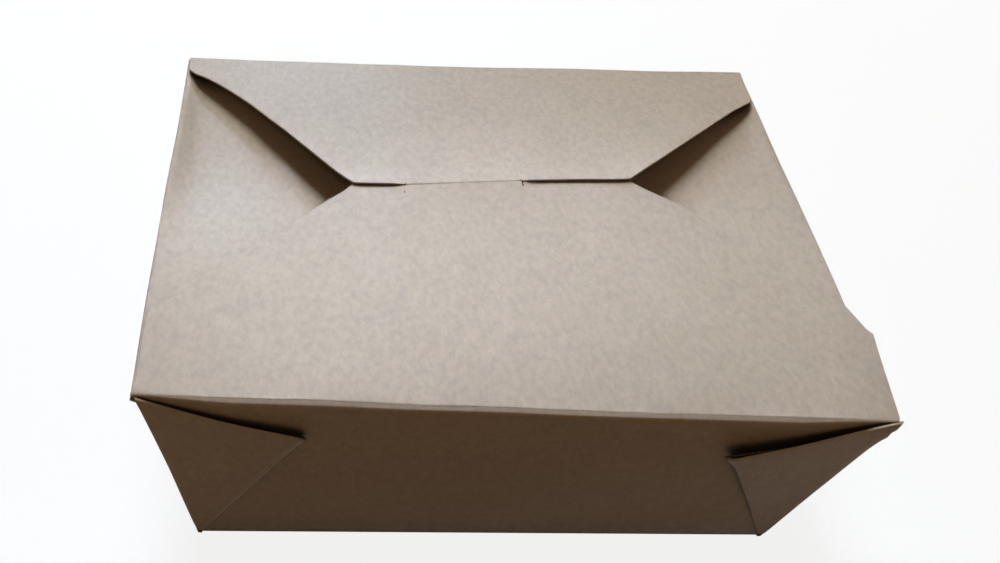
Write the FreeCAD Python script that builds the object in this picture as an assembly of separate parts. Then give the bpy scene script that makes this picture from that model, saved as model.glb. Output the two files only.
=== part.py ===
import FreeCAD, Part
import math
import os

os.makedirs("parts", exist_ok=True)

V = FreeCAD.Vector

# Takeaway carton, closed. Millimetres, +Z up, the front is at -Y, and the origin is
# the middle of the underside. Sizes of walls and flaps run to the middle of the board.
BOARD = 0.5               # thickness of the board
HEIGHT = 64.0             # top folds of the front and back walls, above the table
TOP_X = 171.0             # between the top folds of the end walls
TOP_Y = 140.0             # between the top folds of the front and back walls
BASE_X = 152.0            # base, between the folds of the end walls
BASE_Y = 120.0            # base, between the folds of the front and back walls
END_DROP = 0.9            # end flaps fold this much lower, so that the others lie over them

BASE_BEND = 0.6           # bend radii, to the middle of the board
END_BEND = 1.0
FRONT_BEND = 1.6
TONGUE_BEND = 1.2

WEB_TIP_IN = 36.0         # tip of a corner web, inboard of the corner
WEB_TIP_Z = 51.5          # tip of a corner web, above the table
WEB_TIP_OFF = 2.5         # inner web at its tip, off the wall
WEB_CORNER_IN = 0.5       # fold of wall to inner web, inboard of the corner
WEB_SPREAD = 1.5          # outer web off the wall at the top of the corner
WEB_PINCH = 0.95          # outer web off the wall at the foot of the corner

FRONT_SIDE = 27.0         # straight side edge of the front flap, from its fold
FRONT_LAP = 6.2           # front flap runs on under the back flap
BACK_SIDE = 12.5          # straight side edge of the back flap, from its fold
LOCK_X = 38.5             # lock points either side of the middle
LOCK_Y = 7.2              # front edge of the back flap
END_LENGTH = 58.0         # end flap, fold to inner edge
END_TIP_Y = 96.0          # width of an end flap at its inner edge

FRONT_CROWN_Y = 12.0      # where the front flap is level
FRONT_RISE = 3.0          # and how far it stands there above its fold
BACK_CROWN_Y = -5.0       # where the back flap would be level
BACK_RISE = 4.05          # and how far it would stand there above its fold
END_FALL = 5.0            # slope of an end flap at its fold, degrees
END_SAG = 650.0           # radius of its droop

TONGUE_LEFT = -22.0       # side edges of the tongue
TONGUE_RIGHT = 9.0
TONGUE_DEPTH = 8.5        # length of the tongue below its bend
TONGUE_Y = 7.3            # middle of the tongue at the height of the folds
SLIT_PLAY = 0.3           # room round the tongue in its slit
HOOK = 3.0                # slit ends run this far towards the front
HOOK_WIDE = 0.45
HINGE_BEAD = 0.35         # rounded fold edge of the back flap
HINGE_PLAY = 0.2          # room between that edge and the back wall
HINGE_INSET = 1.2         # ends of the fold edge, inboard of the corners

MID = BOARD / 2
TX, TY, BX, BY = TOP_X / 2, TOP_Y / 2, BASE_X / 2, BASE_Y / 2
END_Z = HEIGHT - END_DROP
SLIT_BACK = TONGUE_Y + MID + SLIT_PLAY
SLIT_FRONT = TONGUE_Y - MID - SLIT_PLAY


def wall_y(z):
    """Half depth between the middle faces of the front and back walls at height z."""
    return BY + (TY - BY) * (z - MID) / (HEIGHT - MID)


def wall_x(z):
    """Half width between the middle faces of the end walls at height z."""
    return BX + (TX - BX) * (z - MID) / (END_Z - MID)


def heading(a, b):
    return math.degrees(math.atan2(b[1] - a[1], b[0] - a[0]))


def walk(start, angle, moves):
    """Stations along a path of straights ("go", length) and bends ("turn", radius, degrees)."""
    legs = []
    x, y = start
    t = math.radians(angle)
    for move in moves:
        if move[0] == "go":
            ahead = (x + move[1] * math.cos(t), y + move[1] * math.sin(t))
            legs.append(((x, y, t), None, (ahead[0], ahead[1], t)))
        else:
            sense = 1 if move[2] > 0 else -1
            cx = x - sense * move[1] * math.sin(t)
            cy = y + sense * move[1] * math.cos(t)
            stops = []
            for part in (0.5, 1.0):
                u = t + math.radians(move[2]) * part
                stops.append((cx + sense * move[1] * math.sin(u),
                              cy - sense * move[1] * math.cos(u), u))
            legs.append(((x, y, t), stops[0], stops[1]))
        x, y, t = legs[-1][2]
    return legs


def strip(start, angle, moves, place, sweep):
    """Strip of board along a path, drawn in a plane by place() and swept out of it."""
    legs = walk(start, angle, moves)
    sides = []
    ends = []
    for side in (MID, -MID):
        edges = []
        for leg in legs:
            pts = [place(s[0] - side * math.sin(s[2]), s[1] + side * math.cos(s[2]))
                   for s in leg if s is not None]
            if len(pts) == 2:
                edges.append(Part.makeLine(pts[0], pts[1]))
            else:
                edges.append(Part.Arc(pts[0], pts[1], pts[2]).toShape())
            if len(edges) == 1:
                ends.append(pts[0])
        ends.append(pts[-1])
        sides.append(edges)
    edges = sides[0] + sides[1]
    edges.append(Part.makeLine(ends[0], ends[2]))
    edges.append(Part.makeLine(ends[1], ends[3]))
    wire = Part.Wire(Part.__sortEdges__(edges))
    return Part.Face(wire).extrude(sweep)


def outline(points):
    """Closed wire on z = 0 through points (x, y, corner radius)."""
    edges = []
    n = len(points)
    ends = []
    for i in range(n):
        px, py, r = points[i]
        p = V(px, py, 0)
        before = (V(points[i - 1][0], points[i - 1][1], 0) - p).normalize()
        after = (V(points[(i + 1) % n][0], points[(i + 1) % n][1], 0) - p).normalize()
        if r > 0:
            half = before.getAngle(after) / 2
            reach = r / math.tan(half)
            middle = p + (before + after).normalize() * (r / math.sin(half) - r)
            edges.append(Part.Arc(p + before * reach, middle, p + after * reach).toShape())
            ends.append((p + before * reach, p + after * reach))
        else:
            ends.append((p, p))
    for i in range(n):
        edges.append(Part.makeLine(ends[i][1], ends[(i + 1) % n][0]))
    return Part.Wire(Part.__sortEdges__(edges))


def plan(points, low, high):
    """Upright prism over a plan outline."""
    face = Part.Face(outline(points))
    face.translate(V(0, 0, low))
    return face.extrude(V(0, 0, high - low))


def slab(points, sweep):
    """Prism over a flat polygon."""
    return Part.Face(Part.makePolygon(points + [points[0]])).extrude(sweep)


def panel(a, b, c):
    """Three-cornered flat panel of board about its middle face."""
    face = Part.Face(Part.makePolygon([a, b, c, a]))
    n = face.normalAt(0, 0)
    face.translate(n * -MID)
    return face.extrude(n * BOARD)


def bead(a, b, radius):
    return Part.makeCylinder(radius, (b - a).Length, a, b - a)


def yz(a, b):
    return V(-TX - 6, a, b)


def xz(a, b):
    return V(a, -TY - 6, b)


def long_strip():
    """Back wall, base, front wall and front flap in one length, not yet cut to width."""
    down = heading((TY, HEIGHT), (BY, MID)) % 360
    lean = down - 180
    length = math.hypot(TY - BY, HEIGHT - MID)
    stop = HINGE_BEAD + HINGE_PLAY
    top = (TY + stop * math.cos(math.radians(down)),
           HEIGHT + stop * math.sin(math.radians(down)))
    run = TY + FRONT_CROWN_Y
    rise = math.degrees(2 * math.atan(FRONT_RISE / run))
    crown = run / math.sin(math.radians(rise))
    foot = BASE_BEND * math.tan(math.radians(lean / 2))
    knee = FRONT_BEND * math.tan(math.radians((180 - lean - rise) / 2))
    reach = TY + LOCK_Y + FRONT_LAP + 2 - knee
    moves = [
        ("go", length - stop - foot),
        ("turn", BASE_BEND, -lean),
        ("go", BASE_Y - 2 * foot),
        ("turn", BASE_BEND, -lean),
        ("go", length - foot - knee),
        ("turn", FRONT_BEND, -(180 - lean - rise)),
        ("turn", crown, -math.degrees(reach / crown)),
    ]
    return strip(top, down, moves, yz, V(TOP_X + 12, 0, 0))


def wall_gate(side, low, high):
    """Room between the end walls, in front of or behind the middle."""
    points = [V(-wall_x(low) + 0.1, 0, low), V(wall_x(low) - 0.1, 0, low),
              V(wall_x(high) - 0.1, 0, high), V(-wall_x(high) + 0.1, 0, high)]
    return slab(points, V(0, side * (TY + 10), 0))


def front_flap_gate(low):
    """Plan outline of the front flap."""
    side = -TY + FRONT_SIDE
    edge = TX - 0.1
    tail = LOCK_Y + FRONT_LAP
    points = [
        (-edge, -TY - 5, 0), (-edge, side, 4), (-LOCK_X, LOCK_Y + 0.3, 1.5),
        (-LOCK_X + 4, tail, 2), (LOCK_X - 4, tail, 2), (LOCK_X, LOCK_Y + 0.3, 1.5),
        (edge, side, 4), (edge, -TY - 5, 0),
    ]
    return plan(points, low, HEIGHT + 20)


def slit():
    """Slit of the front flap, with its ends hooked towards the front."""
    left = TONGUE_LEFT - SLIT_PLAY
    right = TONGUE_RIGHT + SLIT_PLAY
    points = [
        (left - HOOK_WIDE, SLIT_FRONT - HOOK, 0), (left, SLIT_FRONT - HOOK, 0),
        (left + 0.3, SLIT_FRONT, 0), (right - 0.3, SLIT_FRONT, 0),
        (right, SLIT_FRONT - HOOK, 0), (right + HOOK_WIDE, SLIT_FRONT - HOOK, 0),
        (right, SLIT_BACK, 0), (left, SLIT_BACK, 0),
    ]
    return plan(points, HEIGHT - 10, HEIGHT + 20)


def end_strip(side):
    """End wall and its flap in one length, cut to outline; side is +1 or -1 along X."""
    top = (TX, END_Z)
    foot = (BX, MID)
    up = heading(foot, top)
    length = math.hypot(TX - BX, END_Z - MID)
    over = 180 + END_FALL - up
    low_bend = BASE_BEND * math.tan(math.radians(up / 2))
    high_bend = END_BEND * math.tan(math.radians(over / 2))
    flap = END_LENGTH - high_bend
    moves = [
        ("go", 1.0 - low_bend),
        ("turn", BASE_BEND, up),
        ("go", length - low_bend - high_bend),
        ("turn", END_BEND, over),
        ("turn", END_SAG, math.degrees(flap / END_SAG)),
    ]
    raw = strip((BX - 1.0, MID), 0.0, moves, xz, V(0, TOP_Y + 12, 0))
    gate_z = END_Z - 1.4
    wide_low = wall_y(1.0) + WEB_PINCH
    wide_high = wall_y(gate_z) + WEB_SPREAD
    wall = slab([V(BX - 2, -wide_low, -1), V(BX - 2, wide_low, -1),
                 V(BX - 2, wide_high, gate_z), V(BX - 2, -wide_high, gate_z)], V(20, 0, 0))
    neck = TY + 0.4
    tip = TX - END_LENGTH - 2
    shape = [(TX + 4, -neck, 0), (TX + 4, neck, 0), (TX - 1.5, neck, 0),
             (TX - 3.5, TY - 1.6, 0), (tip + 10, END_TIP_Y / 2 + 6, 9), (tip, END_TIP_Y / 2, 9),
             (tip, -END_TIP_Y / 2, 9), (tip + 10, -END_TIP_Y / 2 - 6, 9),
             (TX - 3.5, -TY + 1.6, 0), (TX - 1.5, -neck, 0)]
    flap_gate = plan(shape, gate_z - 0.1, HEIGHT + 5)
    lower_gate = plan(shape[2:9] + [(TX - 1.5, -neck, 0)], 40, gate_z)
    piece = raw.common(wall.fuse([flap_gate, lower_gate.common(inner_room())]))
    if side < 0:
        piece = piece.mirror(V(0, 0, 0), V(1, 0, 0))
    return piece


def inner_room():
    """Room just inside the end wall, where its flap droops below its own fold."""
    points = [V(0, -TY - 5, 40), V(wall_x(40) - 2, -TY - 5, 40),
              V(wall_x(END_Z) - 2, -TY - 5, END_Z), V(0, -TY - 5, END_Z)]
    return slab(points, V(0, 2 * TY + 10, 0))


def web(sx, sy):
    """Corner web folded double against the outside of the front or back wall."""
    lean = math.atan2(TY - BY, HEIGHT - MID)
    out = V(0, sy * math.cos(lean), -math.sin(lean))

    def at(x, z, off):
        return V(sx * x, sy * wall_y(z), z) + out * off

    top, foot = END_Z - 0.2, 0.9
    tx, bx, px = wall_x(top), wall_x(foot), TX - WEB_TIP_IN
    inset = WEB_CORNER_IN
    pieces = [
        panel(at(tx - inset, top, 0.5), at(bx - inset, foot, 0.45), at(px, WEB_TIP_Z, WEB_TIP_OFF)),
        panel(at(tx, top, WEB_SPREAD), at(bx, foot, WEB_PINCH),
              at(px, WEB_TIP_Z, WEB_TIP_OFF + 0.45)),
        bead(at(bx - inset, foot, 0.24), at(tx - inset, top, 0.26), 0.53),
        bead(at(bx, foot, WEB_PINCH), at(tx, top, WEB_SPREAD), 0.28),
        bead(at(bx - 0.2, foot, 0.7), at(px, WEB_TIP_Z, WEB_TIP_OFF + 0.22), 0.5),
    ]
    return pieces


def carton():
    base_gate = Part.makeBox(2 * (BX - 1), TOP_Y + 20, 1.0 + 1, V(-BX + 1, -TY - 10, -1))
    gate = base_gate.fuse([wall_gate(-1, 0.9, END_Z - 0.6), wall_gate(1, 0.9, HEIGHT),
                           front_flap_gate(END_Z - 0.7)])
    body = long_strip().common(gate).cut(slit())
    pieces = [end_strip(1), end_strip(-1)]
    for sx in (-1, 1):
        for sy in (-1, 1):
            pieces += web(sx, sy)
    return body.fuse(pieces).removeSplitter()


def meet(a, ra, b, rb):
    """Upper crossing of two circles in the plane (y, z)."""
    d = math.hypot(b[0] - a[0], b[1] - a[1])
    along = (ra * ra - rb * rb + d * d) / (2 * d)
    off = math.sqrt(ra * ra - along * along)
    ux, uy = (b[0] - a[0]) / d, (b[1] - a[1]) / d
    first = (a[0] + along * ux - off * uy, a[1] + along * uy + off * ux)
    second = (a[0] + along * ux + off * uy, a[1] + along * uy - off * ux)
    return first if first[1] > second[1] else second


def back_flap():
    """Back flap with its tongue, which bends down on a circle about the fold edge."""
    hinge = (TY, HEIGHT)
    run = TY - BACK_CROWN_Y
    rise = math.degrees(2 * math.atan(BACK_RISE / run))
    crown = run / math.sin(math.radians(rise))
    centre = (BACK_CROWN_Y, HEIGHT + BACK_RISE - crown)
    reach = TY - TONGUE_Y
    knee = meet(centre, crown - TONGUE_BEND, hinge, reach - TONGUE_BEND)
    leave = heading(centre, knee) + 90
    enter = heading(hinge, knee) + 90
    start = 180 - rise
    drop = math.degrees(TONGUE_DEPTH / reach)
    long_arc = run - LOCK_Y + 20
    plain = strip(hinge, start, [("turn", crown, math.degrees(long_arc / crown))],
                  yz, V(TOP_X + 12, 0, 0))
    tongued = strip(hinge, start, [("turn", crown, leave - start),
                                   ("turn", TONGUE_BEND, enter - leave),
                                   ("turn", reach, drop)], yz, V(TOP_X + 12, 0, 0))
    edge = TX - HINGE_INSET
    root = LOCK_Y + 2.3
    left, right = TONGUE_LEFT, TONGUE_RIGHT
    points = [
        (edge, TY + 2, 0), (edge, TY - BACK_SIDE, 4), (LOCK_X, LOCK_Y, 1.5),
        (right + 0.5, LOCK_Y, 0), (right, root, 0), (left, root, 0),
        (left - 0.5, LOCK_Y, 0), (-LOCK_X, LOCK_Y, 1.5),
        (-edge, TY - BACK_SIDE, 4), (-edge, TY + 2, 0),
    ]
    body = plain.common(plan(points, HEIGHT - 5, HEIGHT + 10))
    low = HEIGHT - 8
    tab = [(left, HEIGHT + 10, 0), (left, HEIGHT - 0.5, 2), (left + 4, low, 3),
           (right - 4, low, 3), (right, HEIGHT - 0.5, 2), (right, HEIGHT + 10, 0)]
    face = Part.Face(outline(tab))
    face.rotate(V(0, 0, 0), V(1, 0, 0), 90)
    face.translate(V(0, root, 0))
    tongue = tongued.common(face.extrude(V(0, -10, 0)))
    rim = bead(V(-edge, TY, HEIGHT), V(edge, TY, HEIGHT), HINGE_BEAD)
    return body.fuse([tongue, rim]).removeSplitter()


def save(name, shape):
    solids = shape.Solids
    if len(solids) != 1:
        raise ValueError(name + " is " + str(len(solids)) + " solids")
    solids[0].exportStep("parts/" + name + ".step")
    box = solids[0].BoundBox
    print(name, solids[0].isValid(), round(solids[0].Volume, 1),
          [round(v, 2) for v in (box.XMin, box.XMax, box.YMin, box.YMax, box.ZMin, box.ZMax)])


save("carton", carton())
save("back_flap", back_flap())
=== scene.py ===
import math

import bmesh
import bpy
from mathutils import Matrix, Vector, noise


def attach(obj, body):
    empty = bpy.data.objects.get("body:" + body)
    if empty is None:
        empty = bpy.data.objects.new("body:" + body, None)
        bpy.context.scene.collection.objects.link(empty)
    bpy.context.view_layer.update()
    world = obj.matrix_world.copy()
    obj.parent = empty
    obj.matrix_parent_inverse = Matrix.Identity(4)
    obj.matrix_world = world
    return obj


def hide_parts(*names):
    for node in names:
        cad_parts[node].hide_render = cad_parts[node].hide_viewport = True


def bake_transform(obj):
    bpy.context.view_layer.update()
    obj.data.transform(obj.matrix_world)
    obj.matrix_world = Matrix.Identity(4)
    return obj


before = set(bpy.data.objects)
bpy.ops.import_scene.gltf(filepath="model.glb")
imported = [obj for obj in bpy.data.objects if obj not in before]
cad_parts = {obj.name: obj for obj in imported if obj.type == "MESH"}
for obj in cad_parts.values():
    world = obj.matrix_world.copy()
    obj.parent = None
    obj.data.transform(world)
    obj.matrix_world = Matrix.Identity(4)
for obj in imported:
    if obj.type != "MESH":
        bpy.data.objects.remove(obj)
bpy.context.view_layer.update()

# Kraft takeaway carton. Lengths in the sheet functions are millimetres in the frame of the
# CAD model (+Z up, the front at -Y) and become metres when the mesh is made. Sides are
# given by their sign: -1 is left or front, 1 is right or back.
MM = 0.001
TINY = 1e-6

# Sizes of the carton.
BOARD = 0.5               # thickness of the board
MID = BOARD / 2           # middle face of the base
HEIGHT = 64.0             # top folds of the front and back walls
END_Z = 63.1              # top folds of the end walls
TX, TY = 85.5, 70.0       # half size between the top folds
BX, BY = 76.0, 60.0       # half size of the base
WALL_LEAN = math.atan2(TY - BY, HEIGHT - MID)      # front and back walls off upright
END_LEAN = math.atan2(TX - BX, END_Z - MID)        # end walls off upright

# Radii of the folds round the base, over the end walls and over the back wall.
BASE_BEND, END_BEND, BACK_BEND = 0.4, 0.45, 0.9
BASE_BEND_STEPS, END_BEND_STEPS, BACK_BEND_STEPS = 4, 6, 8

# How this one stands.
# Shift of the corners of a hand-folded carton from the square form, by side in x and y.
TOP_SHIFT = {(-1, 1): (-2.0, -0.6, -0.3), (1, 1): (1.1, -0.1, 0.5),
             (-1, -1): (-1.2, 0.75, 0.7), (1, -1): (-0.2, -1.0, -0.85)}
FOOT_SHIFT = {(-1, 1): (0.0, 0.0, 0.0), (1, 1): (0.0, 0.0, 0.0),
              (-1, -1): (0.5, -0.85, 0.0), (1, -1): (-0.5, 1.5, 0.0)}
# Waves in the board, long ones in all directions and shorter ones upright.
WAVE_LENGTH, WAVE_SIZE = 34.0, 0.35
WAVE_SEEDS = (Vector((9.1, 0, 0)), Vector((0, 5.3, 0)), Vector((0, 0, 2.7)))
RIPPLE_LENGTH, RIPPLE_SIZE = 13.0, 0.10
RIPPLE_SEED = Vector((3.3, 1.7, 8.8))
STILL_FOOT = 8.0          # the waves die away over this height above the floor
LEFT_BOW = 0.5            # the left end is bowed inwards at half height
BACK_SAG = 0.8            # the back fold hangs down in its middle
# The lock line, where the two top flaps meet, as it lies: x, then y and height there.
LOCK_AT = (-38.0, -22.0, 8.5, 38.5)
LOCK_Y = (6.6, 5.3, 7.2, 8.7)
LOCK_Z = (65.2, 66.1, 67.0, 67.4)


def mix(a, b, t):
    return a + (b - a) * t


def clamp(t):
    return max(0.0, min(1.0, t))


def smooth(t):
    t = clamp(t)
    return t * t * (3 - 2 * t)


def along(xs, ys, x):
    """Value at x on the straight runs through the points."""
    if x <= xs[0]:
        return ys[0]
    for i in range(1, len(xs)):
        if x <= xs[i]:
            return mix(ys[i - 1], ys[i], (x - xs[i - 1]) / (xs[i] - xs[i - 1]))
    return ys[-1]


def edge_at(points, v):
    """x of an outline at row v; the points are (x, v)."""
    pairs = sorted((p[1], p[0]) for p in points)
    return along([p[0] for p in pairs], [p[1] for p in pairs], v)


def bend(corner, start, end, radius, steps):
    """Points that round a corner of a path, from one heading to the other, in degrees."""
    turn = math.radians(end - start)
    sense = 1 if turn > 0 else -1
    a = math.radians(start)
    reach = radius * math.tan(abs(turn) / 2)
    px = corner[0] - reach * math.cos(a)
    py = corner[1] - reach * math.sin(a)
    cx = px - sense * radius * math.sin(a)
    cy = py + sense * radius * math.cos(a)
    out = []
    for k in range(steps + 1):
        u = a + turn * k / steps
        out.append((cx + sense * radius * math.sin(u), cy - sense * radius * math.cos(u)))
    return out


def settle(p):
    """Moves a point of the square form to where it is on the carton as folded."""
    u = clamp((p.x / TX + 1) / 2)
    v = clamp((p.y / TY + 1) / 2)
    w = clamp(p.z / HEIGHT)
    shift = Vector((0, 0, 0))
    for (sx, sy), top in TOP_SHIFT.items():
        weight = (u if sx > 0 else 1 - u) * (v if sy > 0 else 1 - v)
        shift += weight * Vector(FOOT_SHIFT[(sx, sy)]).lerp(Vector(top), w)
    wave = Vector([noise.noise(p / WAVE_LENGTH + seed) for seed in WAVE_SEEDS])
    ripple = noise.noise(p / RIPPLE_LENGTH + RIPPLE_SEED)
    bow = Vector((LEFT_BOW * (1 - u) * math.sin(math.pi * w), 0, 0))
    sag = Vector((0, 0, -BACK_SAG * math.sin(math.pi * u) ** 2 * v * v * w))
    growth = smooth(p.z / STILL_FOOT)
    shift += bow + sag + growth * (wave * WAVE_SIZE + Vector((0, 0, RIPPLE_SIZE * ripple)))
    return p + shift


# Long and end walls.
BEVEL = 1.6               # flat strip along the front fold, between its two creases
BEVEL_TILT = math.radians(22.0)
BEVEL_END = 0.15          # share of its width that is left at the corners
BEVEL_RUN_OUT = 25.0      # length over which it narrows to that
END_INSET = 1.2           # the slope of an end wall points this far inside its top fold
# Flare of an end wall at its fold and the depth over which it fades, by side; 0 is for the
# long walls between the ends.
END_LIP = {-1: 0.85, 0: 1.2, 1: 1.7}
LIP_DEPTH = {-1: 0.4, 0: 0.8, 1: 3.5}


def bevel(x):
    """Width of the strip along the front fold, which runs out at the corners."""
    return BEVEL * mix(BEVEL_END, 1.0, smooth((TX - abs(x)) / BEVEL_RUN_OUT))


def wall_top(x, sy):
    """Half depth and height at the top of the front wall (sy = -1) or back wall."""
    if sy > 0:
        return TY, HEIGHT
    width = bevel(x)
    return TY + width * math.cos(BEVEL_TILT), HEIGHT - width * math.sin(BEVEL_TILT)


def wall_y(x, z, sy):
    """Distance of the front or back wall from the middle."""
    top_y, top_z = wall_top(x, sy)
    return BY + (top_y - BY) * (z - MID) / (top_z - MID)


def wall_x(z, side=0):
    """Distance of an end wall from the middle; it flares out at its top fold."""
    flare = END_LIP[side] * math.exp((min(z, END_Z) - END_Z) / LIP_DEPTH[side])
    return BX + (TX - END_INSET - BX) * (z - MID) / (END_Z - MID) + flare


MERGE = 2e-6              # points of a sheet that are this near, in metres, are one
SHARP = math.radians(38)  # a bend by more than this shows as an edge


class Sheet:
    """Middle surface of the board, gathered as grids of points and then thickened."""

    def __init__(self):
        self.bm = bmesh.new()

    def grid(self, rows, skip=None):
        """Faces between rows of points; skip(row, column) is true for those left out."""
        verts = [[self.bm.verts.new(settle(p) * MM) for p in row] for row in rows]
        for i in range(len(rows) - 1):
            for j in range(len(rows[i]) - 1):
                if skip and skip(i, j):
                    continue
                self.bm.faces.new((verts[i][j], verts[i][j + 1],
                                   verts[i + 1][j + 1], verts[i + 1][j]))

    def finish(self, name, body, nodes, faces, edges):
        """Object of board thickness; without a body, it is attached to nothing."""
        bmesh.ops.remove_doubles(self.bm, verts=self.bm.verts, dist=MERGE)
        loose = [v for v in self.bm.verts if not v.link_faces]
        bmesh.ops.delete(self.bm, geom=loose, context="VERTS")
        bmesh.ops.recalc_face_normals(self.bm, faces=self.bm.faces)
        mesh = bpy.data.meshes.new(name)
        self.bm.to_mesh(mesh)
        self.bm.free()
        mesh.materials.append(faces)
        mesh.materials.append(edges)
        mesh.shade_smooth()
        obj = bpy.data.objects.new(name, mesh)
        bpy.context.scene.collection.objects.link(obj)
        thick = obj.modifiers.new("board", "SOLIDIFY")
        thick.thickness = BOARD * MM
        thick.offset = 0
        thick.use_even_offset = True
        thick.material_offset_rim = 1
        bpy.context.view_layer.update()
        done = bpy.data.meshes.new_from_object(
            obj.evaluated_get(bpy.context.evaluated_depsgraph_get()))
        obj.modifiers.clear()
        obj.data = done
        done.set_sharp_from_angle(angle=SHARP)
        if body:
            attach(obj, body)
            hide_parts(*nodes)
        return obj


# Front flap. v is the distance along y, measured on the square form.
LOCK_V = 7.3              # lock line
TAIL_V = 13.4             # end of the front flap, under the back flap
CREST_V = 12.0            # where the front flap is level
SLIT_FRONT, SLIT_BACK = 7.08, 8.9
# x of the two sides of the short cut at the left end of the slit, then of that at its right.
SLIT_COLUMNS = (-22.55, -22.3, 9.2, 9.6)
# Open stretch of each short cut, measured forwards from the slit.
LEFT_HOOK, RIGHT_HOOK = (3.4, 2.5), (1.9, 0.0)
SIDE_STEPS, SLIT_STEPS = 26, 22
EDGE_RISE = 0.9           # rise of the front flap along its side edges
EDGE_FROM, EDGE_RUN = 36.0, 48.0          # it is reached over this run, outwards from here
FRONT_SWAY_FROM, FRONT_SWAY_RUN = -30.0, 35.0      # where rows turn to the lock line's way
LIP_RISE = 0.56           # the middle of the front flap is drawn up to the back flap
LIP_LEFT, LIP_RIGHT, LIP_EASE = -27.0, 14.0, 7.0
LIP_FROM, LIP_RUN = -12.0, 19.0
TAIL_SINK = 0.75          # the end of the front flap dips under the back flap
TAIL_LEAD, TAIL_RUN = 0.2, 2.6
# Creases on the two sides of the bevel strip.
STRIP_CREASE = 0.3        # their size as a share of the strip's width
LOWER_CREASE, UPPER_CREASE = 1.3, 1.6     # their radii as multiples of that
LOWER_STEPS, UPPER_STEPS = 6, 4
# Side edges as (x, v), from the fold to the end of the flap.
FRONT_LEFT = ((-85.3, -70.0), (-84.6, -66.0), (-84.4, -47.0), (-83.9, -43.4), (-82.3, -40.6),
              (-70.1, -29.2), (-61.3, -20.0), (-55.1, -13.3), (-48.6, -6.5), (-42.2, 0.6),
              (-38.3, 4.4), (-36.6, 6.6), (-35.9, 7.7), (-35.2, 9.0), (-34.3, 12.6), (-33.2, 13.4))
FRONT_RIGHT = ((85.6, -70.0), (88.2, -43.9), (87.0, -42.3), (85.6, -38.2), (84.4, -34.8),
               (72.5, -22.4), (59.1, -10.1), (50.6, -2.0), (42.6, 3.6), (39.6, 6.3),
               (38.7, 7.5), (37.0, 8.8), (34.5, 12.6), (33.2, 13.4))
# Rows by v: near the fold, along the flap, near the lock line, and where the edges turn.
FOLD_ROWS = [-69.2, -68.0]
FLAP_ROWS = [-66.5 + 2.0 * k for k in range(37)]
LOCK_ROWS = [7.6 + 0.45 * k for k in range(13)]
TURN_ROWS = [-43.2, -40.2, -36.5]
CUT_ROWS = [SLIT_FRONT - LEFT_HOOK[0], SLIT_FRONT - LEFT_HOOK[1], SLIT_FRONT - RIGHT_HOOK[0],
            SLIT_FRONT, SLIT_BACK, TAIL_V]
ROW_GAP = 0.12            # rows nearer to each other than this are dropped


def columns(left, right):
    """Stations across a row, with fixed ones at the ends of the slit."""
    left_cut, slit_left, slit_right, right_cut = SLIT_COLUMNS
    xs = [mix(left, left_cut, k / SIDE_STEPS) for k in range(SIDE_STEPS)] + [left_cut]
    xs += [mix(slit_left, slit_right, k / SLIT_STEPS) for k in range(SLIT_STEPS + 1)]
    xs += [right_cut]
    xs += [mix(right_cut, right, (k + 1) / SIDE_STEPS) for k in range(SIDE_STEPS)]
    return xs


def lock_shift(x):
    """The lock line as it lies, back from its straight place."""
    return along(LOCK_AT, LOCK_Y, x) - LOCK_V


def front_height(x):
    """Height of the front flap on its level line, above its fold."""
    rise = along(LOCK_AT, LOCK_Z, x) - HEIGHT
    return mix(rise, EDGE_RISE, smooth((abs(x) - EDGE_FROM) / EDGE_RUN))


def front_profile(v):
    """Share of that height at row v; the flap curves up from its fold."""
    return 1 - ((CREST_V - v) / (TY + CREST_V)) ** 2


def front_point(x, v):
    sway = smooth((v - FRONT_SWAY_FROM) / FRONT_SWAY_RUN)
    dip = TAIL_SINK * smooth((v - LOCK_V + TAIL_LEAD) / TAIL_RUN)
    if v < SLIT_FRONT + TINY:
        rise = LIP_RISE * smooth((x - LIP_LEFT) / LIP_EASE) * smooth((LIP_RIGHT - x) / LIP_EASE)
        dip -= rise * smooth((v - LIP_FROM) / LIP_RUN)
    return Vector((x, v + lock_shift(x) * sway,
                   HEIGHT + front_height(x) * front_profile(v) - dip))


def front_fold(x):
    """Points (y, z) over the two creases between the front wall and the front flap."""
    top_y, top_z = wall_top(x, -1)
    lean = math.degrees(math.atan2(top_y - BY, top_z - MID))
    slope = math.degrees(math.atan(2 * front_height(x) / (TY + CREST_V)))
    tilt = math.degrees(BEVEL_TILT)
    radius = STRIP_CREASE * bevel(x)
    return (bend((-top_y, top_z), 90 + lean, tilt, radius * LOWER_CREASE, LOWER_STEPS)
            + bend((-TY, HEIGHT), tilt, slope, radius * UPPER_CREASE, UPPER_STEPS))


def front_rows():
    """Values of v for the rows of the front flap."""
    outline = [p[1] for p in FRONT_LEFT[1:] + FRONT_RIGHT[1:]]
    vs = FOLD_ROWS + FLAP_ROWS + LOCK_ROWS + outline + TURN_ROWS
    out = []
    for v in sorted(set(vs) - set(CUT_ROWS)):
        if (not out or v - out[-1] > ROW_GAP) and min(abs(v - c) for c in CUT_ROWS) > ROW_GAP:
            out.append(v)
    return sorted(out + CUT_ROWS)


# Sheet from the back flap's crease down the back wall, over the base, up the front wall and
# along the front flap.
FOOT = 2.6                # lowest row of a wall or web above the fold of the base
WALL_TOP_ROW = 61.0       # highest row of a long wall below its fold
WALL_STEPS, BASE_STEPS = 16, 24
# How far its rows stop short of the end walls: on the walls, the base and the front fold.
WALL_SHORT, BASE_SHORT, FOLD_SHORT = 0.3, 0.4, 0.15
WALL_SHORT_ROWS = 3       # rows of the front fold that still stop where the wall does


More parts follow.
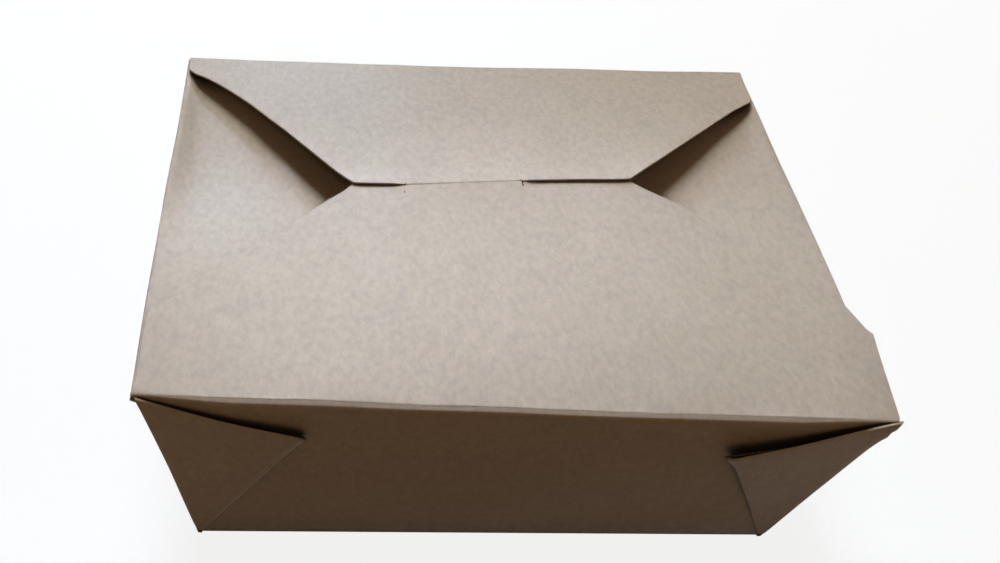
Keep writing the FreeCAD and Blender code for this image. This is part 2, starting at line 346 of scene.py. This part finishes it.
def carton_sheet(faces, edges):
    sheet = Sheet()
    rows = []

    def across(half, place):
        """Row of points (x, y, z) with place(x) giving y and z."""
        rows.append([Vector((x, *place(x))) for x in columns(-half, half)])

    lean = math.degrees(WALL_LEAN)
    levels = [mix(FOOT, WALL_TOP_ROW, k / WALL_STEPS) for k in range(WALL_STEPS + 1)]
    across(CREASE_X, lambda x: back_fold()[0])
    for z in reversed(levels):
        across(wall_x(z) - WALL_SHORT, lambda x: (wall_y(x, z, 1), z))
    for y, z in bend((BY, MID), 270 - lean, 180, BASE_BEND, BASE_BEND_STEPS):
        across(BX - BASE_SHORT, lambda x: (y, z))
    for k in range(1, BASE_STEPS):
        across(BX - BASE_SHORT, lambda x: (mix(BY, -BY, k / BASE_STEPS), MID))
    for y, z in bend((-BY, MID), 180, 90 + lean, BASE_BEND, BASE_BEND_STEPS):
        across(BX - BASE_SHORT, lambda x: (y, z))
    for z in levels:
        across(wall_x(z) - WALL_SHORT, lambda x: (-wall_y(x, z, -1), z))
    for k in range(len(front_fold(0.0))):
        short = WALL_SHORT if k < WALL_SHORT_ROWS else FOLD_SHORT
        across(TX - short, lambda x: front_fold(x)[k])
    vs = front_rows()
    first = len(rows)
    for v in vs:
        xs = columns(edge_at(FRONT_LEFT, v), edge_at(FRONT_RIGHT, v))
        rows.append([front_point(x, v) for x in xs])

    def cut(low, high, span):
        """True where the rows low to high lie in a cut that spans these two values of v."""
        return low > span[0] - TINY and high < span[1] + TINY

    def skip(i, j):
        """True for the faces in the slit and in the short cuts at its ends."""
        if i < first or i - first + 1 >= len(vs):
            return False
        low, high = vs[i - first], vs[i - first + 1]
        left, right = SIDE_STEPS, SIDE_STEPS + SLIT_STEPS + 1
        if left <= j <= right and cut(low, high, (SLIT_FRONT, SLIT_BACK)):
            return True
        hook = {left: LEFT_HOOK, right: RIGHT_HOOK}.get(j)
        return hook is not None and cut(low, high, [SLIT_FRONT - back for back in hook])

    sheet.grid(rows, skip)
    for side in (-1, 1):
        end_sheet(sheet, side)
    for sx in (-1, 1):
        for sy in (-1, 1):
            web_sheet(sheet, sx, sy)
    return sheet.finish("carton_sheet", "carton", ["carton"], faces, edges)


# End walls and flaps.
END_LENGTH = 58.0         # an end flap, from its fold to its tip
END_FALL = 0.045          # slope of an end flap
END_SAG = 600.0           # radius to which it bends
END_SINK = {-1: 3.3, 1: 2.0}    # how far it is pushed down behind, by side
SINK_FROM, SINK_RUN = -32.0, 60.0         # the push grows over this run, back from here
SINK_EASE = 3.0           # and takes hold over about this distance from the fold
FLAT_EDGE = 1.1           # the slope starts this far inboard of the fold
NECK = 2.0                # over this length beside the fold, the flap narrows at 45 degrees
NECK_WIDER = 0.2          # half width at the fold, past the walls
SHOULDER_HALF, TIP_HALF = 68.2, 54.0      # half widths after the neck and before the tip
TIP_LENGTH, TIP_NARROWER = 10.0, 9.0      # rounded tip
CORNER_REACH = 0.5        # the walls' ends reach past the half width of base and top
BASE_LAP = 0.9            # the end wall laps this far onto the base
END_FOOT, END_TOP_ROW = 1.0, 61.6         # the wall's rows lie between these heights
END_ROWS, END_COLUMNS = 17, 44
FOLD_OVER = 0.2           # this far inboard, the fold takes the width of the flap
FLAP_STEP, TIP_STEP = 1.6, 0.8            # between rows of the flap and of its tip
TIP_ROWS = 12.0           # length of the part that has the closer rows


def end_drop(d, y, side):
    """Drop of an end flap at a distance d inboard of its fold."""
    sunk = END_SINK[side] * smooth((y - SINK_FROM) / SINK_RUN) * (1 - math.exp(-d / SINK_EASE))
    return sunk + d * END_FALL + d * d / (2 * END_SAG)


def end_half(d):
    """Half width of an end flap at a distance d inboard of its fold."""
    if d < NECK:
        return TY + NECK_WIDER - d
    side = mix(SHOULDER_HALF, TIP_HALF, (d - NECK) / (END_LENGTH - TIP_LENGTH - NECK))
    tip = max(0.0, d - (END_LENGTH - TIP_LENGTH)) / TIP_LENGTH
    return side - TIP_NARROWER * (1 - math.sqrt(max(0.0, 1 - tip * tip)))


def end_sheet(sheet, side):
    """End wall with its flap, from the base to the tip of the flap."""
    up = 90 - math.degrees(END_LEAN)
    rows = []

    def row(x, front, back, height):
        """Row from y = -front to y = back with height(y) giving z."""
        ys = [mix(-front, back, k / END_COLUMNS) for k in range(END_COLUMNS + 1)]
        rows.append([Vector((side * x, y, height(y))) for y in ys])

    foot = BY + CORNER_REACH
    row(BX - BASE_LAP, foot, foot, lambda y: MID)
    for x, z in bend((BX, MID), 0, up, BASE_BEND, BASE_BEND_STEPS):
        row(x, foot, foot, lambda y: z)
    for k in range(1, END_ROWS + 1):
        z = mix(END_FOOT, END_TOP_ROW, k / END_ROWS)
        reach = spread(z) - WEB_TURN
        row(wall_x(z, side), wall_y(TX, z, -1) + reach, wall_y(TX, z, 1) + reach,
            lambda y: z)
    level = 180 + math.degrees(END_FALL)
    for x, z in bend((TX, END_Z), up, level, END_BEND, END_BEND_STEPS):
        half = end_half(max(0.0, TX - x)) if x < TX - FOLD_OVER else TY + CORNER_REACH
        row(x, half, half, lambda y: z)
    d = FLAP_STEP
    while d < END_LENGTH:
        half = end_half(d)
        row(TX - d, half, half, lambda y: END_Z - end_drop(d - FLAT_EDGE, y, side))
        d += FLAP_STEP if d < END_LENGTH - TIP_ROWS else TIP_STEP
    sheet.grid(rows)


# Corner webs, each folded double and laid against the front or back wall.
WEB_TURN = 0.6            # radius of the corner between a web and the end wall
WEB_INNER = 0.5           # inner layer off the wall along the corner
WEB_OUTER = (0.66, 0.95)  # outer layer there, at the foot and at the top
# Height of the top corner, by side in x and y.
WEB_TOP = {(-1, -1): 63.8, (1, -1): 65.0, (-1, 1): 62.4, (1, 1): 62.4}
# By corner: the tip's x and z, how far the inner and the outer layer stand off the wall
# there, and how far the top edge of the inner layer is below that of the outer.
TIPS = {(-1, -1): (48.2, 54.3, 0.6, 2.9, 3.2), (1, -1): (51.2, 53.4, 1.4, 4.2, 4.2),
        (-1, 1): (49.5, 51.5, 1.2, 2.4, 1.2), (1, 1): (49.5, 51.5, 1.2, 2.6, 1.2)}
WEB_FOOT_IN, WEB_TOP_IN = 1.4, 1.2        # the inner edge's ends, in from base and top
WEB_BELOW = 1.0           # from here up to the end fold, a web's corner stands straight
WEB_GROWTH = 1.5          # power by which the stand-off grows towards the tip
LEAST_RUN, LEAST_WIDTH = 1.0, 0.15        # keep the web's narrow ends sound
SINK_LENGTH = 9.0         # the inner layer sinks over this height below the tip
WEB_STEPS, WEB_HALF_TURN, WEB_CORNER = 12, 4, 5
WEB_ROWS_BELOW, WEB_ROWS_ABOVE = 16, 8    # rows below and above the tip


def spread(z):
    """Outer layer of a web off the wall along the corner."""
    return mix(*WEB_OUTER, clamp(z / HEIGHT))


def web_sheet(sheet, sx, sy):
    out = Vector((0, sy * math.cos(WALL_LEAN), -math.sin(WALL_LEAN)))
    tip_x, tip_z, inner_tip, outer_tip, sink = TIPS[(sx, sy)]
    web_top = WEB_TOP[(sx, sy)]

    def at(x, z, off):
        """Point at a distance off the wall."""
        return Vector((sx * x, sy * wall_y(x, z, sy), z)) + out * off

    def corner_x(z):
        return wall_x(min(z, END_Z - WEB_BELOW), sx)

    def inboard(z):
        """x of the web's inner edge: its fold below the tip, its cut edge above."""
        if z <= tip_z:
            return mix(BX - WEB_FOOT_IN, tip_x, (z - FOOT) / (tip_z - FOOT))
        return mix(tip_x, TX - WEB_TOP_IN, (z - tip_z) / (web_top - tip_z))

    def off_wall(x, z, corner, tip):
        """Stand-off at (x, z), growing from the corner to the fold or cut edge inboard."""
        level = clamp((z - FOOT) / (tip_z - FOOT))
        run = clamp((corner_x(z) - x) / max(LEAST_RUN, corner_x(z) - inboard(z)))
        above = clamp((z - tip_z) / (web_top - tip_z))
        far = mix(mix(corner, tip, level ** WEB_GROWTH), corner, above)
        return mix(corner, far, run)

    levels = [mix(FOOT, tip_z, k / WEB_ROWS_BELOW) for k in range(WEB_ROWS_BELOW + 1)]
    levels += [mix(tip_z, web_top, k / WEB_ROWS_ABOVE) for k in range(1, WEB_ROWS_ABOVE + 1)]
    rows = []
    for z in levels:
        inner_z = z - sink * smooth((z - tip_z + SINK_LENGTH) / SINK_LENGTH)
        corner = corner_x(z) - WEB_TURN
        x_in = min(inboard(z), corner - LEAST_WIDTH)
        outer = spread(z)
        row = []
        for k in range(WEB_HALF_TURN + 1):
            a = math.pi * k / WEB_HALF_TURN
            row.append(at(corner + WEB_INNER / 2 * math.sin(a), inner_z,
                          WEB_INNER / 2 * (1 - math.cos(a))))
        for k in range(1, WEB_STEPS + 1):
            x = mix(corner, x_in, k / WEB_STEPS)
            row.append(at(x, inner_z, off_wall(x, z, WEB_INNER, inner_tip)))
        low = off_wall(x_in, z, WEB_INNER, inner_tip)
        high = off_wall(x_in, z, outer, outer_tip)
        for k in range(1, WEB_HALF_TURN + 1):
            a = math.pi * k / WEB_HALF_TURN
            row.append(at(x_in - (high - low) / 2 * math.sin(a),
                          mix(inner_z, z, k / WEB_HALF_TURN),
                          mix(low, high, (1 - math.cos(a)) / 2)))
        for k in range(1, WEB_STEPS + 1):
            x = mix(x_in, corner, k / WEB_STEPS)
            row.append(at(x, z, off_wall(x, z, outer, outer_tip)))
        for k in range(1, WEB_CORNER + 1):
            a = math.pi / 2 * k / WEB_CORNER
            row.append(at(corner + WEB_TURN * math.sin(a), z,
                          outer - WEB_TURN * (1 - math.cos(a))))
        rows.append(row)

    def skip(i, j):
        """True between the two layers above the tip, where their edges are cut."""
        fold = WEB_HALF_TURN + WEB_STEPS
        return levels[i] >= tip_z - TINY and fold <= j < fold + WEB_HALF_TURN

    sheet.grid(rows, skip)


# Back flap.
BACK_SLOPE = 173.8        # heading of the back flap at its crease
CREASE_X = 84.9           # half length of its crease
CREASE_PARTS, CREASE_STEPS = 8, 6
BACK_CURVE = 0.25         # share of an s-curve in its rise from the crease to the lock line
BACK_SWAY_FROM, BACK_SWAY_RUN = 48.0, 38.0         # where rows turn to the lock line's way
SIDE_DROP = 0.35          # share of its rise that it lacks at its sides
SIDE_FROM, SIDE_RUN = 40.0, 45.0
# Its gap above the front flap, between middle faces: over the tongue, then how much more
# beside it, and behind the lock line.
LIFT_TONGUE, LIFT_BESIDE, LIFT_BEHIND = 0.56, 0.26, 0.3
BESIDE_FROM, BESIDE_RUN, BEHIND_RUN = 15.0, 4.0, 7.0
TONGUE = (-22.0, 9.0)     # sides of the tongue
TONGUE_SIDE = 0.2         # width of the column beside it
TONGUE_TURN = 0.27        # bend of the tongue into the slit
TONGUE_DIVE = math.radians(88)
TONGUE_STEPS = 8
TONGUE_ROW = 1.0          # its rows below the bend are this far apart
TONGUE_LEAN, TONGUE_TAPER = 0.02, 0.3     # they lean forward and narrow by this each
TONGUE_END = 2.5          # the last one is narrower by this as well
ROOT_V = 8.0              # where the tongue starts
SHOULDER_STEPS = 8
# Side edges as (x, v), from the crease to the lock line.
BACK_LEFT = ((-84.9, 70.5), (-84.6, 62.5), (-82.3, 59.9), (-79.4, 58.3), (-76.6, 55.9),
             (-70.9, 50.3), (-65.3, 44.2), (-59.8, 37.4), (-54.5, 31.2), (-49.3, 24.3),
             (-44.2, 17.8), (-39.3, 11.5), (-36.8, 8.4), (-36.0, 7.6), (-35.2, 7.3))
BACK_RIGHT = ((84.9, 70.5), (84.1, 54.0), (83.2, 52.0), (77.0, 47.1), (70.0, 40.5), (63.0, 33.3),
              (56.2, 26.2), (49.7, 19.3), (43.4, 12.7), (39.4, 8.3), (38.5, 7.5), (37.4, 7.3))
# Rows by v: along the flap, where the edges turn, and near the lock line.
BACK_ROWS = [67.0 - 2.0 * k for k in range(29)]
BACK_TURN_ROWS = [62.0, 61.2, 60.4, 59.8, 54.0, 53.3, 52.6, 52.0]
BACK_LOCK_ROWS = [10.2, 9.3, 8.6, ROOT_V]


def back_fold():
    """Points (y, z) over the crease, from the back wall to the back flap."""
    return bend((TY, HEIGHT), 90 - math.degrees(WALL_LEAN), BACK_SLOPE, BACK_BEND,
                BACK_BEND_STEPS)


def crease_sheets(faces, edges):
    """Short lengths of the crease between the back wall and the back flap."""
    path = back_fold()
    for part in range(CREASE_PARTS):
        left = mix(-CREASE_X, CREASE_X, part / CREASE_PARTS)
        right = mix(-CREASE_X, CREASE_X, (part + 1) / CREASE_PARTS)
        xs = [mix(left, right, k / CREASE_STEPS) for k in range(CREASE_STEPS + 1)]
        sheet = Sheet()
        sheet.grid([[Vector((x, y, z)) for x in xs] for y, z in path])
        obj = sheet.finish(f"back_crease_{part}", None, [], faces, edges)
        low, high = (settle(Vector(((left + right) / 2, *path[i]))) * MM for i in (0, -1))
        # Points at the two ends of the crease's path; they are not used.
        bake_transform(obj)


def back_profile(v):
    """Share of the flap's rise at row v."""
    t = (TY - v) / (TY - LOCK_V)
    return mix(t, smooth(t), BACK_CURVE)


def lift(x, v):
    """Back flap above the front flap's level, between middle faces."""
    beside = smooth((abs(x - sum(TONGUE) / 2) - BESIDE_FROM) / BESIDE_RUN)
    near = LIFT_TONGUE + LIFT_BESIDE * beside
    return mix(near, LIFT_BEHIND, smooth((v - LOCK_V) / BEHIND_RUN))


def back_point(x, v):
    sway = smooth((BACK_SWAY_FROM - v) / BACK_SWAY_RUN)
    side = 1 - SIDE_DROP * smooth((abs(x) - SIDE_FROM) / SIDE_RUN)
    rise = (along(LOCK_AT, LOCK_Z, x) - HEIGHT + lift(x, v)) * side
    return Vector((x, v + lock_shift(x) * sway, HEIGHT + rise * back_profile(v)))


def back_columns(left, right):
    """Stations across a row, with fixed ones at the sides of the tongue."""
    xs = [mix(left, TONGUE[0] - TONGUE_SIDE, k / SIDE_STEPS) for k in range(SIDE_STEPS + 1)]
    xs += [mix(*TONGUE, k / SLIT_STEPS) for k in range(SLIT_STEPS + 1)]
    xs += [mix(TONGUE[1] + TONGUE_SIDE, right, k / SIDE_STEPS) for k in range(SIDE_STEPS + 1)]
    return xs


def back_row(v, part=slice(None)):
    """Points of the back flap at v, or those of a part of its columns."""
    xs = back_columns(edge_at(BACK_LEFT, v), edge_at(BACK_RIGHT, v))
    return [back_point(x, v) for x in xs[part]]


def tongue_rows():
    """Rows from the root of the tongue round its bend and down through the slit."""
    xs = [mix(*TONGUE, k / SLIT_STEPS) for k in range(SLIT_STEPS + 1)]
    rows = [[back_point(x, ROOT_V) for x in xs]]
    for step in range(TONGUE_STEPS + 1):
        a = TONGUE_DIVE * step / TONGUE_STEPS
        turn = Vector((0, -TONGUE_TURN * math.sin(a), -TONGUE_TURN * (1 - math.cos(a))))
        rows.append([back_point(x, LOCK_V + TONGUE_TURN) + turn for x in xs])
    last = rows[-1]
    for step in range(1, TONGUE_STEPS + 1):
        inset = TONGUE_TAPER * step + (TONGUE_END if step == TONGUE_STEPS else 0)
        row = []
        for k in range(SLIT_STEPS + 1):
            x = mix(TONGUE[0] + inset, TONGUE[1] - inset, k / SLIT_STEPS)
            row.append(Vector((x, last[k].y - TONGUE_LEAN * step,
                               last[k].z - TONGUE_ROW * step)))
        rows.append(row)
    return rows


def back_flap_sheet(faces, edges):
    sheet = Sheet()
    y, z = back_fold()[-1]
    rows = [[Vector((x, y, z)) for x in back_columns(-CREASE_X, CREASE_X)]]
    rows += [back_row(v) for v in sorted(BACK_ROWS + BACK_TURN_ROWS + BACK_LOCK_ROWS,
                                         reverse=True)]
    sheet.grid(rows)
    shoulder = [mix(ROOT_V, LOCK_V, k / SHOULDER_STEPS) for k in range(SHOULDER_STEPS + 1)]
    for part in (slice(SIDE_STEPS + 1), slice(-SIDE_STEPS - 1, None)):
        sheet.grid([back_row(v, part) for v in shoulder])
    sheet.grid(tongue_rows())
    return sheet.finish("back_flap_sheet", "back_flap", ["back_flap"], faces, edges)


# Materials.
SHEEN, ROUGH = 0.02, 0.42
ROUGH_RANGE = 0.03        # roughness of the lighter spots is lower by this, darker higher
GRAIN = (1.0, 0.6, 0.7)   # the pulp's mottle is longest along y, then z
# Mottle of the pulp: features to the metre, detail, curl, and change of brightness.
CLOUD = (90, 2.0, 0.0, 0.02)
BLOTCH = (620, 3.0, 0.0, 0.07)
FIBRE = (1300, 2.0, 1.0, 0.04)
NOISE_RANGE = (0.3, 0.7)  # values of a noise that reach the full change
ROUGH_BLOTCH = (0.95, 1.05)
# Flecks: cells to the metre, radii in cells, shade; and the patches that have them.
FLECK_CELLS, FLECK_RADII, FLECK_SHADE = 210, (0.02, 0.06), 0.55
FLECK_PATCHES, FLECK_BORDER = (75, 1.0), (0.54, 0.6)
RELIEF = 0.5              # strength of the bumps
# Painted shade, which darkens the colour in narrow places and under flaps: distance looked out in
# metres, the open shares of the surroundings at which this is full and at which it ends, and the
# brightness left where it is full.
CREVICE_SHADE = (0.005, 0.3, 0.75, 0.15)
RECESS_SHADE = (0.014, 0.4, 0.95, 0.8)
GAP_SAMPLES = 8
COLOUR_A, COLOUR_B, COLOUR_OUT = 6, 7, 2  # sockets of a mix node that mixes colours


def kraft(name, tone, dark, relief_height):
    """Uncoated kraft board: soft mottled pulp with curled fibres and a few faint flecks, its
    colour darkened by painted shade in narrow places.
    """
    mat = bpy.data.materials.new(name)
    mat.use_nodes = True
    nodes, links = mat.node_tree.nodes, mat.node_tree.links
    nodes.clear()
    out = nodes.new("ShaderNodeOutputMaterial")
    shader = nodes.new("ShaderNodeBsdfPrincipled")
    shader.inputs["Specular IOR Level"].default_value = SHEEN
    links.new(shader.outputs[0], out.inputs[0])
    place = nodes.new("ShaderNodeTexCoord")
    grain = nodes.new("ShaderNodeVectorMath")
    grain.operation = "MULTIPLY"
    grain.inputs[1].default_value = GRAIN
    links.new(place.outputs["Object"], grain.inputs[0])

    def pulp(scale, detail, curl=0.0):
        """Noise in the board's own place; scale is in features to the metre."""
        tex = nodes.new("ShaderNodeTexNoise")
        tex.inputs["Scale"].default_value = scale
        tex.inputs["Detail"].default_value = detail
        tex.inputs["Distortion"].default_value = curl
        links.new(grain.outputs[0], tex.inputs["Vector"])
        return tex.outputs["Fac"]

    def ramp(source, low, high, a, b):
        """Value that goes from a to b while the source goes from low to high."""
        node = nodes.new("ShaderNodeMapRange")
        node.inputs["From Min"].default_value = low
        node.inputs["From Max"].default_value = high
        node.inputs["To Min"].default_value = a
        node.inputs["To Max"].default_value = b
        links.new(source, node.inputs["Value"])
        return node.outputs[0]

    def maths(operation, a, b):
        node = nodes.new("ShaderNodeMath")
        node.operation = operation
        links.new(a, node.inputs[0])
        links.new(b, node.inputs[1])
        return node.outputs[0]

    def mottle(scale, detail, curl, change):
        return ramp(pulp(scale, detail, curl), *NOISE_RANGE, 1 - change, 1 + change)

    def painted_gap_shade(distance, low, high, dark_share):
        """Painted shade: darkens the colour in narrow places, where little light gets in."""
        tex = nodes.new("ShaderNodeAmbientOcclusion")
        tex.samples = GAP_SAMPLES
        tex.inputs["Distance"].default_value = distance
        return ramp(tex.outputs["AO"], low, high, dark_share, 1.0)

    cloud, blotch, fibre = mottle(*CLOUD), mottle(*BLOTCH), mottle(*FIBRE)
    value = maths("MULTIPLY", maths("MULTIPLY", cloud, blotch), fibre)

    flecks = nodes.new("ShaderNodeTexVoronoi")
    flecks.inputs["Scale"].default_value = FLECK_CELLS
    links.new(place.outputs["Object"], flecks.inputs["Vector"])
    spot = ramp(flecks.outputs["Distance"], *FLECK_RADII, FLECK_SHADE, 1.0)
    bare = ramp(pulp(*FLECK_PATCHES), *FLECK_BORDER, 1.0, 0.0)

    tint = nodes.new("ShaderNodeMix")
    tint.data_type = "RGBA"
    tint.inputs[COLOUR_A].default_value = (*dark, 1)
    tint.inputs[COLOUR_B].default_value = (*tone, 1)
    links.new(maths("MAXIMUM", spot, bare), tint.inputs[0])

    # Painted shade: the occlusion lookups darken the colour in crevices and recesses.
    painted_shade = maths("MULTIPLY", painted_gap_shade(*CREVICE_SHADE), painted_gap_shade(*RECESS_SHADE))
    shade = nodes.new("ShaderNodeVectorMath")
    shade.operation = "SCALE"
    links.new(tint.outputs[COLOUR_OUT], shade.inputs[0])
    links.new(maths("MULTIPLY", value, painted_shade), shade.inputs["Scale"])
    links.new(shade.outputs[0], shader.inputs["Base Color"])

    rough = ramp(blotch, *ROUGH_BLOTCH, ROUGH + ROUGH_RANGE, ROUGH - ROUGH_RANGE)
    links.new(rough, shader.inputs["Roughness"])
    relief = nodes.new("ShaderNodeBump")
    relief.inputs["Strength"].default_value = RELIEF
    relief.inputs["Distance"].default_value = relief_height
    links.new(maths("MULTIPLY", blotch, fibre), relief.inputs["Height"])
    links.new(relief.outputs[0], shader.inputs["Normal"])
    return mat


# Floor and surroundings.
FLOOR_RADIUS, FLOOR_SIDES = 6.0, 64
FLOOR_DROP = 0.00005      # the floor lies just below the carton, in metres
FLOOR_GLOW = 0.86         # share of its white that takes no shadow
FLOOR_BOUNCE = (0.18, 0.11, 0.055)        # its colour to light that isn't seen directly
AMBIENT = (0.1, 0.066, 0.034)             # soft light from all round
WHITE = (1, 1, 1, 1)


def seen_directly(nodes, links):
    """1 for what the camera sees, also by a reflection or through something clear."""
    path = nodes.new("ShaderNodeLightPath")
    seen = path.outputs["Is Camera Ray"]
    for way in ("Is Glossy Ray", "Is Transmission Ray"):
        either = nodes.new("ShaderNodeMath")
        either.operation = "MAXIMUM"
        links.new(seen, either.inputs[0])
        links.new(path.outputs[way], either.inputs[1])
        seen = either.outputs[0]
    return seen


def mixed(nodes, links, share, first, second):
    """Mix of two shaders; share, a number or a socket, is how much the second counts."""
    both = nodes.new("ShaderNodeMixShader")
    if isinstance(share, float):
        both.inputs[0].default_value = share
    else:
        links.new(share, both.inputs[0])
    links.new(first, both.inputs[1])
    links.new(second, both.inputs[2])
    return both.outputs[0]


def make_floor():
    """White to the camera with a faint shadow, and a plain matte surface to other light."""
    mesh = bpy.data.meshes.new("floor")
    bm = bmesh.new()
    bmesh.ops.create_circle(bm, cap_ends=True, radius=FLOOR_RADIUS, segments=FLOOR_SIDES)
    bm.to_mesh(mesh)
    bm.free()
    obj = bpy.data.objects.new("floor", mesh)
    obj.location.z = -FLOOR_DROP
    bpy.context.scene.collection.objects.link(obj)
    mat = bpy.data.materials.new("floor")
    mat.use_nodes = True
    nodes, links = mat.node_tree.nodes, mat.node_tree.links
    nodes.clear()
    out = nodes.new("ShaderNodeOutputMaterial")
    dull = nodes.new("ShaderNodeBsdfDiffuse")
    dull.inputs[0].default_value = (*FLOOR_BOUNCE, 1)
    pale = nodes.new("ShaderNodeBsdfDiffuse")
    pale.inputs[0].default_value = WHITE
    glow = nodes.new("ShaderNodeEmission")
    glow.inputs[0].default_value = WHITE
    glow.inputs[1].default_value = 1.0
    white = mixed(nodes, links, FLOOR_GLOW, pale.outputs[0], glow.outputs[0])
    seen = seen_directly(nodes, links)
    links.new(mixed(nodes, links, seen, dull.outputs[0], white), out.inputs[0])
    mesh.materials.append(mat)


def make_world():
    """White where it is seen, and a faint warm light from all round."""
    world = bpy.data.worlds.new("studio")
    bpy.context.scene.world = world
    world.use_nodes = True
    nodes, links = world.node_tree.nodes, world.node_tree.links
    nodes.clear()
    out = nodes.new("ShaderNodeOutputWorld")
    soft = nodes.new("ShaderNodeBackground")
    soft.inputs[0].default_value = (*AMBIENT, 1)
    soft.inputs[1].default_value = 1.0
    white = nodes.new("ShaderNodeBackground")
    white.inputs[0].default_value = WHITE
    white.inputs[1].default_value = 1.0
    seen = seen_directly(nodes, links)
    links.new(mixed(nodes, links, seen, soft.outputs[0], white.outputs[0]), out.inputs[0])


# Lights.
LIGHT_Z = 0.064           # height that the lights are aimed at, in metres
LIGHT_AWAY = 1.3          # their distance from there
ALL_ROUND = 180.0         # spread of a light that isn't narrowed


def area_light(name, turn, rise, size, level, colour, aim=(0.0, 0.0), spread=ALL_ROUND):
    """Window at an angle round from +x and above the floor, in degrees; level is the light
    it gives a level white surface, as a share of the light at which white renders white."""
    turn, rise = math.radians(turn), math.radians(rise)
    way = Vector((math.cos(turn) * math.cos(rise), math.sin(turn) * math.cos(rise),
                  math.sin(rise)))
    light = bpy.data.lights.new(name, "AREA")
    light.shape = "ELLIPSE"
    light.size, light.size_y = size
    half = math.radians(spread) / 2
    gain = 1.0 if spread >= ALL_ROUND else math.tan(half) / (math.tan(half) - half)
    light.energy = level / gain / math.sin(rise) * (math.pi * LIGHT_AWAY) ** 2
    light.color = colour
    light.spread = math.radians(spread)
    obj = bpy.data.objects.new(name, light)
    obj.location = Vector((*aim, LIGHT_Z)) + way * LIGHT_AWAY
    obj.rotation_mode = "QUATERNION"
    obj.rotation_quaternion = (-way).to_track_quat("-Z", "Y")
    bpy.context.scene.collection.objects.link(obj)


def make_lights():
    """Window behind the carton, its lower part and a bright pane of it, and the room."""
    area_light("window_high", turn=94.5, rise=40.0, size=(0.40, 0.70), level=0.58,
               colour=(0.92, 1.0, 1.0))
    area_light("window_low", turn=90.0, rise=21.0, size=(0.25, 0.12), level=0.28,
               colour=(0.8, 1.03, 1.5), aim=(-0.10, 0.0), spread=28.0)
    area_light("window_pane", turn=94.5, rise=44.0, size=(0.22, 0.03), level=1.6,
               colour=(0.75, 0.95, 1.3), aim=(-0.005, -0.036), spread=5.6)
    area_light("room", turn=262.0, rise=45.0, size=(0.40, 0.30), level=0.05,
               colour=(1.0, 0.72, 0.52))


# Camera: its place in millimetres, the way it looks, and its lens in pixels of the picture,
# whose middle lies to the right of the lens's axis.
EYE = Vector((-46.8, -229.3, 250.7)) * MM
LOOK_DOWN = math.radians(43.2)
LOOK_RIGHT = math.radians(2.57)
ROLL = math.radians(3.19)
FOCAL_PX = 1105.9
AXIS_X_PX = 350.0
FRAME_WIDTH_PX = 1000.0
SENSOR = 36.0             # width of the sensor in millimetres
NEAREST = 0.01            # nearest thing that is seen, in metres


def make_camera():
    ahead = Vector((math.sin(LOOK_RIGHT) * math.cos(LOOK_DOWN),
                    math.cos(LOOK_RIGHT) * math.cos(LOOK_DOWN), -math.sin(LOOK_DOWN)))
    level = Vector((math.cos(LOOK_RIGHT), -math.sin(LOOK_RIGHT), 0))
    up = level.cross(ahead)
    right = math.cos(ROLL) * level + math.sin(ROLL) * up
    top = -math.sin(ROLL) * level + math.cos(ROLL) * up
    data = bpy.data.cameras.new("camera")
    data.sensor_fit = "HORIZONTAL"
    data.sensor_width = SENSOR
    data.lens = FOCAL_PX * SENSOR / FRAME_WIDTH_PX
    data.shift_x = (FRAME_WIDTH_PX / 2 - AXIS_X_PX) / FRAME_WIDTH_PX
    data.clip_start = NEAREST
    obj = bpy.data.objects.new("camera", data)
    turn = Matrix((right, top, -ahead)).transposed()
    obj.matrix_world = Matrix.Translation(EYE) @ turn.to_4x4()
    bpy.context.scene.collection.objects.link(obj)
    bpy.context.scene.camera = obj


board_face = kraft("kraft_board", tone=(0.478, 0.388, 0.30), dark=(0.25, 0.19, 0.14),
                   relief_height=0.00004)
board_edge = kraft("kraft_cut_edge", tone=(0.52, 0.43, 0.34), dark=(0.36, 0.28, 0.21),
                   relief_height=0.00006)
carton_sheet(board_face, board_edge)
back_flap_sheet(board_face, board_edge)
crease_sheets(board_face, board_edge)

make_floor()
make_world()
make_lights()
make_camera()
bpy.context.scene.view_settings.view_transform = "Standard"
